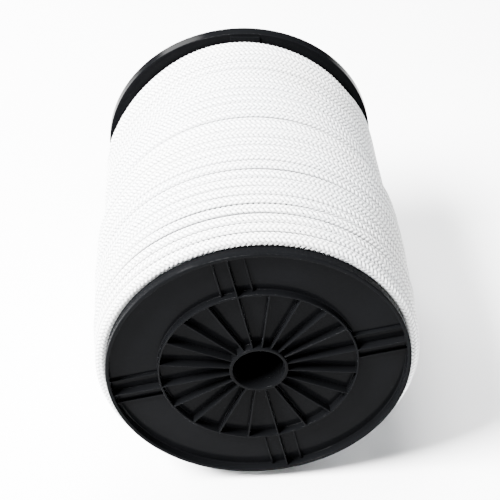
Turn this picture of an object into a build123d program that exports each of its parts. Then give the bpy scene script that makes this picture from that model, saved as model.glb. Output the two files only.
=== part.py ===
"""A reel of braided cord: two flange mouldings on a barrel, lying on its side with its bore along +Y.

Millimetres, +Z up. The origin is the middle of the bore, half way between the two flange faces.
"""

import os
from math import cos, radians, sin, sqrt

from build123d import *

# Driving dimensions of the reel
flange_radius = 70.0
reel_length = 177.0
rim_width = 5.6
plate_thickness = 1.4
lip_thickness = 1.8
ring_radius = 46.2
ring_thickness = 1.0
bore_radius = 12.0
collar_thickness = 1.5
barrel_radius = 48.0
barrel_wall = 2.4

# Ribs in the web inside the ring, and the spokes from the ring to the rim: each is a rib between two beads,
# with a low land behind it on the inner face
ribs = 20
rib_height = 3.6
rib_thickness = 0.65
spokes = 4
bead_offset = 7.05
bead_height = 1.4
bead_thickness = 0.9
land_width = 15.2
land_height = 0.9

# Roundings: free edges, inside corners, and the free edges of the ribs
edge_round = 0.35
corner_round = 0.5
rib_round = 0.2

# How far each flange is turned about the bore, in degrees from +X towards +Z
front_clocking = 12.0
rear_clocking = 87.6

# Driving dimensions of the wound cord
cord_diameter = 6.0
full_layers = 4
winding_clearance = 0.2
seat_swell = 0.6
crown_swell = 0.75
open_swell = 2.3
top_layer_length = 82.0
top_layer_ramp = 11.0

# Sizes worked out from them
half_length = reel_length / 2
inner_face = half_length - rim_width
web_face = inner_face + plate_thickness
collar_radius = bore_radius + collar_thickness
lip_radius = flange_radius - lip_thickness
winding_end = inner_face - land_height - winding_clearance
layer_rise = cord_diameter * cos(radians(30))
core_radius = barrel_radius + cord_diameter + (full_layers - 2) * layer_rise
layer_radius = core_radius + layer_rise
seat_radius = layer_radius + seat_swell
open_radius = layer_radius + open_swell
crown_radius = layer_radius + layer_rise + crown_swell
top_layer_end = -winding_end + top_layer_length


def outwards(angle, at):
    """A plane across a radius of the reel, at this y: local x along -Y, and its normal pointing outwards."""
    direction = (cos(radians(angle)), 0, sin(radians(angle)))
    return Plane(origin=(0, at, 0), x_dir=(0, -1, 0), z_dir=direction)


def rib_outline(height, thickness, places):
    """Section across ribs at these places: they stand this high above the web, with their free edges rounded."""
    with Locations([(height / 2, place) for place in places]):
        Rectangle(height, thickness)
    fillet([v for v in vertices() if v.X > height / 2], rib_round)


def chord(radius, offset):
    """How far out a line that passes the bore's axis at this offset meets the circle of this radius."""
    return sqrt(radius**2 - offset**2)


def flange(clocking):
    """The front flange moulding, which faces -Y."""
    face, web, back = -half_length, -web_face, -inner_face
    rib_face = web - rib_height
    in_ring = ring_radius - ring_thickness / 2
    in_lip = lip_radius + lip_thickness / 2
    in_collar = collar_radius - collar_thickness / 2
    with BuildPart() as moulding:
        # Half section, as y along the bore and then the radius: plate, rim lip, ring and collar
        with BuildSketch(Plane.YZ):
            with BuildLine():
                Polyline(
                    (back, bore_radius),
                    (back, flange_radius),
                    (face, flange_radius),
                    (face, lip_radius),
                    (web, lip_radius),
                    (web, ring_radius),
                    (rib_face, ring_radius),
                    (rib_face, ring_radius - ring_thickness),
                    (web, ring_radius - ring_thickness),
                    (web, collar_radius),
                    (face, collar_radius),
                    (face, bore_radius),
                    close=True,
                )
            make_face()
            fillet([v for v in vertices() if v.X < rib_face + 0.01], edge_round)
            fillet([v for v in vertices() if abs(v.X - web) < 0.01], corner_round)
            rim_back = [v for v in vertices() if abs(v.X - back) < 0.01 and v.Y > ring_radius]
            fillet(rim_back, edge_round)
        revolve(axis=Axis.Y)

        for i in range(spokes):
            angle = clocking + i * 360 / spokes
            with BuildSketch(outwards(angle, -inner_face).offset(barrel_radius)):
                with Locations((-land_height / 2, 0)):
                    Rectangle(land_height, land_width)
                fillet([v for v in vertices() if v.X < -land_height / 2], edge_round)
            extrude(amount=lip_radius - barrel_radius)
            with BuildSketch(outwards(angle, -web_face).offset(in_ring)):
                rib_outline(rib_height, rib_thickness, [0])
            extrude(amount=in_lip - in_ring)
            with BuildSketch(outwards(angle, -web_face).offset(chord(in_ring, bead_offset))):
                rib_outline(bead_height, bead_thickness, [-bead_offset, bead_offset])
            extrude(amount=chord(in_lip, bead_offset) - chord(in_ring, bead_offset))

        for i in range(ribs):
            angle = clocking + i * 360 / ribs
            with BuildSketch(outwards(angle, -web_face).offset(in_collar)):
                rib_outline(rib_height, rib_thickness, [0])
            extrude(amount=in_ring - in_collar)
    return moulding.part


def tube(outer, wall, half):
    """A plain tube round the bore, from -half to half."""
    with BuildPart() as made:
        with BuildSketch(Plane.XZ.offset(-half)):
            Circle(outer)
            Circle(outer - wall, mode=Mode.SUBTRACT)
        extrude(amount=2 * half)
    return made.part


def save(part, name):
    part.label = name
    export_step(part, f"parts/{name}.step")


os.makedirs("parts", exist_ok=True)

front_flange = flange(front_clocking)
save(front_flange, "front_flange")

# The rear flange is the same moulding, turned end for end
with BuildPart() as rear_flange:
    add(flange(180 - rear_clocking).rotate(Axis.Z, 180))
save(rear_flange.part, "rear_flange")

save(tube(barrel_radius, barrel_wall, inner_face), "barrel")
save(tube(collar_radius, collar_thickness, inner_face), "bore_tube")

# The layers that lie out of sight, from the barrel up
with BuildPart() as cord_inner_layers:
    with BuildSketch(Plane.XZ.offset(-winding_end)):
        Circle(core_radius)
        Circle(barrel_radius, mode=Mode.SUBTRACT)
    extrude(amount=2 * winding_end)
save(cord_inner_layers.part, "cord_inner_layers")

# The last full layer: a level seat under the top layer, then the open part, which swells in the middle
end_round = cord_diameter / 2
with BuildPart() as cord_full_layer:
    with BuildSketch(Plane.YZ):
        with BuildLine():
            Polyline(
                (winding_end, core_radius),
                (-winding_end, core_radius),
                (-winding_end, seat_radius),
                (top_layer_end, seat_radius),
                (top_layer_end + top_layer_ramp, open_radius),
            )
            Spline(
                (top_layer_end + top_layer_ramp, open_radius),
                (winding_end / 2, open_radius - 0.1),
                (winding_end - end_round, layer_radius - 0.5),
                tangents=[(1, 0), (1, -0.25)],
            )
            Spline(
                (winding_end - end_round, layer_radius - 0.5),
                (winding_end, layer_radius - end_round),
                tangents=[(1, -0.25), (0.1, -1)],
            )
            Line((winding_end, layer_radius - end_round), (winding_end, core_radius))
        make_face()
    revolve(axis=Axis.Y)
save(cord_full_layer.part, "cord_full_layer")

# The part layer on top, wound back from the front flange
with BuildPart() as cord_top_layer:
    with BuildSketch(Plane.YZ):
        with BuildLine():
            Polyline(
                (top_layer_end + top_layer_ramp, open_radius),
                (top_layer_end, seat_radius),
                (-winding_end, seat_radius),
                (-winding_end, crown_radius - end_round - 1),
            )
            Spline(
                (-winding_end, crown_radius - end_round - 1),
                (-winding_end + end_round, crown_radius - 1),
                tangents=[(0.1, 1), (1, 0.15)],
            )
            Spline(
                (-winding_end + end_round, crown_radius - 1),
                (-winding_end / 2, crown_radius),
                (top_layer_end - top_layer_ramp, crown_radius - 0.6),
                (top_layer_end + top_layer_ramp, open_radius),
                tangents=[(1, 0.15), (1, -0.1)],
            )
        make_face()
    revolve(axis=Axis.Y)
save(cord_top_layer.part, "cord_top_layer")
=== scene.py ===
"""A reel of white braided cord on a black moulded reel, lying on its side in soft studio light.

Metres, +Z up, the bore along +Y and the front flange at -Y, as in the CAD frame.
"""

from math import pi, radians

import bpy
import numpy as np
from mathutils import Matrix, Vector

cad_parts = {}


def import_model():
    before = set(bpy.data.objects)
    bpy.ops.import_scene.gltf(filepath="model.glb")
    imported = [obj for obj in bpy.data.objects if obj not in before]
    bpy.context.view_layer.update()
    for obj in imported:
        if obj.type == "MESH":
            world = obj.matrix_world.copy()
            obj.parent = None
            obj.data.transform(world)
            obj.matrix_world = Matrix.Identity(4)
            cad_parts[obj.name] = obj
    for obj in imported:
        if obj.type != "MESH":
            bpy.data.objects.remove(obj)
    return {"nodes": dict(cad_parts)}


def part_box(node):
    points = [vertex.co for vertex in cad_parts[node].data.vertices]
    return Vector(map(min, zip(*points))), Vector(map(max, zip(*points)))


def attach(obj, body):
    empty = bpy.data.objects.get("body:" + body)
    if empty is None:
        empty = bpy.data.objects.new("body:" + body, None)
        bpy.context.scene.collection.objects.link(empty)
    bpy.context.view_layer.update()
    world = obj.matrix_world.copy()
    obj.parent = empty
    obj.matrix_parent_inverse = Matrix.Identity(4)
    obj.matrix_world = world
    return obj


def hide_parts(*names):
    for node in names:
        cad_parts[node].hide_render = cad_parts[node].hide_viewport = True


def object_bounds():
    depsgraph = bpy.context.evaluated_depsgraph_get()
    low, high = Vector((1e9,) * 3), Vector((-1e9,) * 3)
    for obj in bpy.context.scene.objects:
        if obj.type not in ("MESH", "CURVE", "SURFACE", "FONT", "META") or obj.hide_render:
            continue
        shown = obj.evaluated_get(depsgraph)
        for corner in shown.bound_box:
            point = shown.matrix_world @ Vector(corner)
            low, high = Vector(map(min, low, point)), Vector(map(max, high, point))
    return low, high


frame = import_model()
cad_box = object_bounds()
nodes = frame["nodes"]

# ---------------------------------------------------------------------------
# Sizes. The winding's come from the frame's cord solids.
# ---------------------------------------------------------------------------
cord_diameter = 0.006
full_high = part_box("cord_full_layer")[1]
top_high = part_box("cord_top_layer")[1]
hidden_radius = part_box("cord_inner_layers")[1][2]
winding_end = full_high[1]
open_radius = full_high[2]
crown_radius = top_high[2]
top_end = top_high[1]
layer_rise = cord_diameter * 3**0.5 / 2
hidden_layers = 3

# Centre of the turn against a flange, and how much nearer the front flange the top layer's first turn starts
end = winding_end - cord_diameter / 2
crowding = 0.0015

# Each layer starts on the underside: the angle from +X towards +Z
start_angle = radians(-54)

# The top layer's seat below its crown, and the ramp from that seat up to the open part of the full layer
seat_drop = 0.0055
ramp_length = 0.011

# How far turns stray along the reel and in radius, and how far the winding is from round towards the rear:
# it is flatter between its top and its sides, and stands a little lower at +X
sway = 0.0006
lift = 0.00022
flattening = 0.0018
offset_x = 0.0005
flattening_length = 0.05


# ---------------------------------------------------------------------------
# The winding: where each turn's centre line runs, and the braid on the cord
# ---------------------------------------------------------------------------
carriers = 16
stitch = 2 * pi * (cord_diameter / 2) / (carriers / 2)
samples_per_stitch = 5

# The cord's core as a share of its radius, how far a yarn stands on it, and a grain's half width and half
# length in yarns
core = 0.87
yarn_rise = 0.0009
grain_width = 0.6
grain_length = 1.3


def wander(turns, around, reach, seed, along=6, across=3):
    """Slow, smooth random values over turn number and angle, from -reach to reach.

    There is no seam at a full turn.
    """
    random = np.random.default_rng(seed)
    total = np.zeros(np.shape(turns))
    for k in range(1, along + 1):
        for m in range(across + 1):
            size = random.normal() / (k + m) ** 0.6
            total += size * np.sin(2 * pi * (0.07 * k * turns + m * around) + random.uniform(0, 2 * pi))
    return reach * np.tanh(total / 2)


def braid_height(along, around):
    """Height of a 2/2 braid's surface, 0 to 1, at this many stitches along the cord and yarns round it.

    Each yarn floats over two of the yarns that cross it and under the next two, so it shows as
    long grains that dip at their ends, in rows that lean left and right in turn.
    """
    a, b = along - around, along + around
    best = np.zeros(np.shape(a))
    for across, run, lead in ((a, b, -0.5), (b, a, 2.5)):
        for neighbour in (-1, 0, 1):
            yarn = np.round(across) + neighbour
            middle = yarn + lead
            middle = middle + 4 * np.round((run - middle) / 4)
            grain = 1 - ((across - yarn) / grain_width) ** 2 - ((run - middle) / grain_length) ** 2
            best = np.maximum(best, grain)
    return np.sqrt(np.clip(best, 0, 1))


def smooth(value):
    """0 below 0, 1 above 1, and an even blend between."""
    value = np.clip(value, 0, 1)
    return value * value * (3 - 2 * value)


def braided_tube(centre, outwards, twist, rounds=30, plain=False):
    """Section points of a braided cord round a centre line, and its stitches, yarns, relief and outwardness.

    The section is closer sampled on its outer side, which is the side that shows. A plain one has no relief.
    """
    steps = np.linalg.norm(np.diff(centre, axis=0), axis=1)
    length = np.concatenate([[0], np.cumsum(steps)])
    step = np.linspace(-1, 1, rounds + 1)
    around = (pi * (0.72 * step + 0.28 * step**5))[None, :]
    yarns = (carriers / 2) * around / (2 * pi) + twist[:, None]
    stitches = (length / stitch)[:, None] + 0 * yarns
    relief = 0 * yarns + 1 if plain else braid_height(stitches, yarns)
    radius = cord_diameter / 2 * core + yarn_rise * (relief - 0.55)
    points = centre[:, None, :] + (np.cos(around) * radius)[..., None] * outwards[:, None, :]
    points[..., 1] += np.sin(around) * radius * 1.04
    return points[:, :-1].reshape(-1, 3), stitches, yarns, relief, np.cos(around) + 0 * yarns


def mesh_of(name, points, stitches, yarns, relief, outward):
    """One smooth shaded mesh from rows of section points.

    It has two UV maps: braid holds stitches and yarns, and relief holds relief and outwardness.
    """
    n, m = stitches.shape
    cols = m - 1
    r = np.arange(n - 1)[:, None]
    c = np.arange(cols)[None, :]
    nxt = (c + 1) % cols
    quads = np.stack(
        [r * cols + c, r * cols + nxt, (r + 1) * cols + nxt, (r + 1) * cols + c], axis=-1
    ).reshape(-1, 4)
    corner_rows = np.stack([r + 0 * c, r + 0 * c, r + 1 + 0 * c, r + 1 + 0 * c], axis=-1).reshape(-1)
    corner_cols = np.stack([c + 0 * r, c + 1 + 0 * r, c + 1 + 0 * r, c + 0 * r], axis=-1).reshape(-1)
    caps = [np.arange(cols)[::-1], (n - 1) * cols + np.arange(cols)]
    mesh = bpy.data.meshes.new(name)
    total = len(quads)
    loops = np.concatenate([quads.reshape(-1), *caps]).astype(np.int32)
    starts = np.concatenate([np.arange(total) * 4, [total * 4, total * 4 + cols]]).astype(np.int32)
    mesh.vertices.add(len(points))
    mesh.vertices.foreach_set("co", points.astype(np.float32).reshape(-1))
    mesh.loops.add(len(loops))
    mesh.loops.foreach_set("vertex_index", loops)
    mesh.polygons.add(total + 2)
    mesh.polygons.foreach_set("loop_start", starts)
    mesh.update(calc_edges=True)
    for layer, along, across in (("braid", stitches, yarns), ("relief", relief, outward)):
        values = np.zeros((len(loops), 2), dtype=np.float32)
        values[: total * 4, 0] = along[corner_rows, corner_cols]
        values[: total * 4, 1] = across[corner_rows, corner_cols]
        mesh.uv_layers.new(name=layer).data.foreach_set("uv", values.reshape(-1))
    mesh.validate()
    mesh.shade_smooth()
    thing = bpy.data.objects.new(name, mesh)
    bpy.context.scene.collection.objects.link(thing)
    return thing


def layer_radius(y):
    """Radius of the last full layer's outside at this y: level under the top layer, then open and swollen."""
    seat = crown_radius - seat_drop
    ramp = np.clip((y - (top_end - ramp_length)) / ramp_length, 0, 1)
    fall = np.clip((y - top_end) / (winding_end - top_end), 0, 1)
    opened = open_radius - 0.0002 - 0.0019 * fall**2.2
    return seat + (opened - seat) * ramp**2 * (3 - 2 * ramp)


def top_radius(y):
    """Radius of the top layer's outside at this y: lower by the front flange, and down at its open end."""
    start = -winding_end
    at_flange = 0.0012 * np.exp(-np.clip(y - start, 0, 1) / 0.010)
    towards_end = 0.0006 * np.clip((y + 0.03) / 0.03, 0, 1)
    rise = crown_radius - at_flange - towards_end
    drop = np.clip((y - (top_end - 0.020)) / 0.020, 0, 1)
    return rise + (open_radius + 0.0002 - rise) * drop**1.6


def advance(turn):
    """Cord widths moved along the reel after this many turns.

    The first turns lie square to the flange and step over on the underside; later ones are an even helix.
    """
    stepped = np.floor(turn) + smooth((turn % 1.0 - 0.8) / 0.2)
    settled = np.clip((turn - 1.5) / 3, 0, 1)
    return (1 - settled) * stepped + settled * (turn - 0.4)


def winding(name, start_y, end_y, radius_at, seed, sink=0.0, tuck=0.0):
    """A layer's turns as one braided cord from start_y to end_y, both ends on the underside.

    sink lowers the first turn, and tuck takes the last end down through the layer below.
    """
    span = abs(end_y - start_y)
    turns = round(span / cord_diameter - 0.5) + 0.9
    pitch = span / (turns - 0.4)
    per_turn = round(2 * pi * (crown_radius - cord_diameter / 2) / stitch) * samples_per_stitch
    turn = np.linspace(0, turns, int(turns * per_turn))
    angle = start_angle + 2 * pi * turn
    free = np.clip(np.minimum(turn, turns - turn) / 2, 0, 1)
    strays = free * wander(turn, turn % 1.0, sway, seed, along=4)
    lifts = free * wander(turn * 2.9, turn % 1.0, lift, seed + 1, along=2)
    y = start_y + np.sign(end_y - start_y) * pitch * advance(turn) + strays
    radius = radius_at(y) - cord_diameter / 2 + lifts
    slack = flattening * np.sin(2 * angle) ** 2 * (1 - 0.6 * np.cos(angle)) + offset_x * np.cos(angle)
    radius = radius - slack * smooth(y / flattening_length)
    radius = radius - sink * (1 - smooth((turn - 0.7) / 1.6)) - tuck * smooth((turn - turns + 0.4) / 0.4)
    outwards = np.stack([np.cos(angle), 0 * angle, np.sin(angle)], axis=-1)
    centre = outwards * radius[:, None]
    centre[:, 1] = y
    twist = 0.5 + wander(turn, turn % 1.0, 0.9, seed + 2, along=9)
    return mesh_of(name, *braided_tube(centre, outwards, twist))


def inner_winding(name, layers):
    """The hidden layers: plain turns to and fro between the flanges, which climb a layer at each end."""
    turns = round(2 * end / cord_diameter) + 1
    turn = np.linspace(0, layers * turns, layers * turns * 60)
    layer = np.minimum(turn // turns, layers - 1)
    within = turn - layer * turns
    climb = smooth((within - turns + 0.5) / 0.5) * (layer < layers - 1)
    radius = hidden_radius - cord_diameter / 2 - (layers - 1 - layer - climb) * layer_rise
    angle = start_angle + 2 * pi * turn
    outwards = np.stack([np.cos(angle), 0 * angle, np.sin(angle)], axis=-1)
    centre = outwards * radius[:, None]
    centre[:, 1] = end * (2 * within / turns - 1) * np.where(layer % 2, -1, 1)
    return mesh_of(name, *braided_tube(centre, outwards, 0 * turn, rounds=12, plain=True))


# ---------------------------------------------------------------------------
# Materials
# ---------------------------------------------------------------------------
class Nodes:
    """A new material's node tree, with short ways to add and join nodes."""

    def __init__(self, name):
        self.material = bpy.data.materials.new(name)
        self.material.use_nodes = True
        self.tree = self.material.node_tree
        self.tree.nodes.clear()
        self.shader = self.add("ShaderNodeBsdfPrincipled")
        self.out = self.add("ShaderNodeOutputMaterial")
        self.join(self.shader.outputs["BSDF"], self.out.inputs["Surface"])

    def add(self, kind, **settings):
        node = self.tree.nodes.new(kind)
        for key, value in settings.items():
            setattr(node, key, value)
        return node

    def join(self, a, b):
        self.tree.links.new(a, b)

    def put(self, socket, value):
        """Sets a socket, or joins it where value is another node's output."""
        if isinstance(value, bpy.types.NodeSocket):
            self.join(value, socket)
        else:
            socket.default_value = value

    def math(self, operation, *values):
        node = self.add("ShaderNodeMath", operation=operation)
        for socket, value in zip(node.inputs, values):
            self.put(socket, value)
        return node.outputs[0]

    def noise(self, vector, scale, detail=3.0, roughness=0.5):
        node = self.add("ShaderNodeTexNoise")
        self.put(node.inputs["Vector"], vector)
        node.inputs["Scale"].default_value = scale
        node.inputs["Detail"].default_value = detail
        node.inputs["Roughness"].default_value = roughness
        return node.outputs[0]

    def spread(self, value, low, high, to_low, to_high):
        node = self.add("ShaderNodeMapRange")
        self.put(node.inputs["Value"], value)
        for key, number in zip(("From Min", "From Max", "To Min", "To Max"), (low, high, to_low, to_high)):
            self.put(node.inputs[key], number)
        return node.outputs[0]

    def blend(self, factor, a, b):
        node = self.add("ShaderNodeMix", data_type="RGBA")
        self.put(node.inputs["Factor"], factor)
        self.put(node.inputs[6], a)
        self.put(node.inputs[7], b)
        return node.outputs[2]

    def bump(self, height, strength, distance, normal=None):
        node = self.add("ShaderNodeBump")
        self.put(node.inputs["Height"], height)
        node.inputs["Strength"].default_value = strength
        node.inputs["Distance"].default_value = distance
        if normal is not None:
            self.join(normal, node.inputs["Normal"])
        return node.outputs[0]


def plastic():
    """Semi-gloss black moulding: rounded edges, a faint mould texture, and slow changes of shade and gloss.

    It is darker and less reflecting than real plastic, to suit lights that are strong enough for white cord.
    """
    m = Nodes("reel_plastic")
    where = m.add("ShaderNodeTexCoord").outputs["Object"]
    rounded = m.add("ShaderNodeBevel", samples=6)
    rounded.inputs["Radius"].default_value = 0.0004
    cloud = m.noise(where, 28.0, 4.0, 0.6)
    grain = m.noise(where, 1900.0, 2.0, 0.6)
    shade = m.spread(cloud, 0.35, 0.7, 0, 1)
    dark, light = (0.0016, 0.0017, 0.0019, 1), (0.0021, 0.0022, 0.0025, 1)
    m.put(m.shader.inputs["Base Color"], m.blend(shade, dark, light))
    m.put(m.shader.inputs["Roughness"], m.spread(cloud, 0.3, 0.75, 0.12, 0.18))
    m.shader.inputs["Specular IOR Level"].default_value = 0.0068
    m.put(m.shader.inputs["Normal"], m.bump(grain, 0.08, 0.0002, rounded.outputs[0]))
    return m.material


def braided_cord():
    """White braided cord: the strands of each yarn run along it.

    The gaps between yarns, and the sides of a turn where it faces its neighbours, get painted shade: a
    dark colour blended into the white. The side of the first turn that faces the front flange gets none.
    """
    m = Nodes("cord_white")
    where = m.add("ShaderNodeTexCoord").outputs["Object"]
    uv = m.add("ShaderNodeUVMap", uv_map="braid")
    parts = m.add("ShaderNodeSeparateXYZ")
    m.join(uv.outputs[0], parts.inputs[0])
    u, v = parts.outputs[0], parts.outputs[1]
    a, b = m.math("SUBTRACT", u, v), m.math("ADD", u, v)
    i, j = m.math("ROUND", a), m.math("ROUND", b)
    place = m.math("FLOORED_MODULO", m.math("SUBTRACT", i, j), 4.0)
    s_on_top = m.math("LESS_THAN", place, 1.5)
    across = m.math(
        "ADD",
        m.math("MULTIPLY", s_on_top, a),
        m.math("MULTIPLY", m.math("SUBTRACT", 1.0, s_on_top), b),
    )
    strands = m.math("SINE", m.math("MULTIPLY", across, 2 * pi * 6))
    fuzz = m.noise(where, 900.0, 3.0, 0.7)
    patches = m.noise(where, 22.0, 3.0, 0.5)
    depth = m.add("ShaderNodeSeparateXYZ")
    m.join(m.add("ShaderNodeUVMap", uv_map="relief").outputs[0], depth.inputs[0])
    # Painted shade in the gaps between yarns, where the braid's relief is low
    painted_gap_shade = m.spread(depth.outputs[0], 0.38, 0.98, 1.0, 0.0)
    position = m.add("ShaderNodeSeparateXYZ")
    m.join(where, position.inputs[0])
    # Painted shade on the sides of turns that face their neighbours; none on the first turn's side against
    # the front flange
    has_neighbour = m.spread(position.outputs[1], -end - crowding, -end + 0.0003, 0.0, 1.0)
    painted_crease_shade = m.math("MULTIPLY", m.spread(depth.outputs[1], 0.34, 0.72, 1.0, 0.0), has_neighbour)
    shade = m.math("MAXIMUM", painted_gap_shade, painted_crease_shade)
    cool, warm = (0.86, 0.875, 0.89, 1), (0.89, 0.885, 0.875, 1)
    white = m.blend(m.spread(patches, 0.35, 0.65, 0, 1), cool, warm)
    # The painted shade blends the white towards this near-black colour
    m.put(m.shader.inputs["Base Color"], m.blend(shade, white, (0.035, 0.037, 0.041, 1)))
    m.put(m.shader.inputs["Roughness"], m.spread(fuzz, 0.3, 0.7, 0.5, 0.66))
    m.shader.inputs["Sheen Weight"].default_value = 0.1
    m.shader.inputs["Sheen Roughness"].default_value = 0.4
    height = m.math("ADD", m.math("MULTIPLY", strands, 0.5), m.math("MULTIPLY", fuzz, 0.8))
    m.put(m.shader.inputs["Normal"], m.bump(height, 0.35, 0.00006))
    return m.material


def hidden_cord():
    """The layers under the last one: white cord painted a little darker, as shade from the layers on top."""
    m = Nodes("cord_core")
    where = m.add("ShaderNodeTexCoord").outputs["Object"]
    fuzz = m.noise(where, 700.0, 4.0, 0.65)
    # Painted shade: greys below the white of the layers on top
    m.put(m.shader.inputs["Base Color"], m.blend(fuzz, (0.62, 0.63, 0.65, 1), (0.74, 0.745, 0.75, 1)))
    m.put(m.shader.inputs["Roughness"], m.spread(fuzz, 0.3, 0.7, 0.6, 0.75))
    m.put(m.shader.inputs["Normal"], m.bump(fuzz, 0.5, 0.0003))
    return m.material


def floor_material():
    """Plain pale studio floor, with a faint unevenness."""
    m = Nodes("studio_floor")
    where = m.add("ShaderNodeTexCoord").outputs["Object"]
    low, high = (0.93, 0.93, 0.935, 1), (0.95, 0.95, 0.95, 1)
    m.put(m.shader.inputs["Base Color"], m.blend(m.noise(where, 3.0, 2.0), low, high))
    m.shader.inputs["Roughness"].default_value = 0.8
    return m.material


def paint(thing, material):
    thing.data.materials.clear()
    thing.data.materials.append(material)


black = plastic()
white_cord = braided_cord()
for key in ("front_flange", "rear_flange", "barrel", "bore_tube"):
    paint(nodes[key], black)

inner_layers = inner_winding("inner_layer_turns", hidden_layers)
paint(inner_layers, hidden_cord())
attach(inner_layers, "root")
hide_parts("cord_inner_layers")
full_layer = winding("full_layer_turns", end, -end, layer_radius, 11, sink=0.0030)
top_last = top_end - 1.5 * cord_diameter
top_layer = winding("top_layer_turns", -end - crowding, top_last, top_radius, 23, tuck=cord_diameter)
for thing, key in ((full_layer, "cord_full_layer"), (top_layer, "cord_top_layer")):
    paint(thing, white_cord)
    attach(thing, "root")
    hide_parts(key)

# ---------------------------------------------------------------------------
# Floor, lights and camera
# ---------------------------------------------------------------------------
ground = cad_box[0][2]


def floor():
    mesh = bpy.data.meshes.new("studio_floor")
    half = 4.0
    corners = [(-half, -half, 0), (half, -half, 0), (half, half, 0), (-half, half, 0)]
    mesh.from_pydata(corners, [], [(0, 1, 2, 3)])
    thing = bpy.data.objects.new("studio_floor", mesh)
    thing.location = (0, 0, ground)
    bpy.context.scene.collection.objects.link(thing)
    mesh.materials.append(floor_material())


def softbox(name, place, width, height, power):
    """A white rectangular light that faces the middle of the reel."""
    light = bpy.data.lights.new(name, "AREA")
    light.shape = "RECTANGLE"
    light.size, light.size_y = width, height
    light.energy = power
    thing = bpy.data.objects.new(name, light)
    thing.location = place
    thing.rotation_euler = (Vector((0, 0, 0)) - Vector(place)).to_track_quat("-Z", "Y").to_euler()
    bpy.context.scene.collection.objects.link(thing)


def world():
    made = bpy.data.worlds.new("studio")
    made.use_nodes = True
    back = made.node_tree.nodes["Background"]
    back.inputs["Color"].default_value = (0.88, 0.94, 1.0, 1)
    back.inputs["Strength"].default_value = 0.15
    bpy.context.scene.world = made


def camera():
    lens = bpy.data.cameras.new("camera")
    lens.sensor_width = 36.0
    lens.lens = 110.6
    thing = bpy.data.objects.new("camera", lens)
    thing.location = (-0.03112, -0.58002, 0.50036)
    aim = Vector((-0.00058, -0.02545, 0.01786))
    thing.rotation_euler = (aim - thing.location).to_track_quat("-Z", "Y").to_euler()
    bpy.context.scene.collection.objects.link(thing)
    bpy.context.scene.camera = thing


floor()
world()
camera()
softbox("key", (-0.90, -0.35, 1.12), 0.6, 0.6, 330)
softbox("overhead", (-0.15, 0.35, 1.4), 0.8, 0.8, 54)
softbox("back", (-0.60, 1.05, 0.47), 0.5, 0.4, 34)
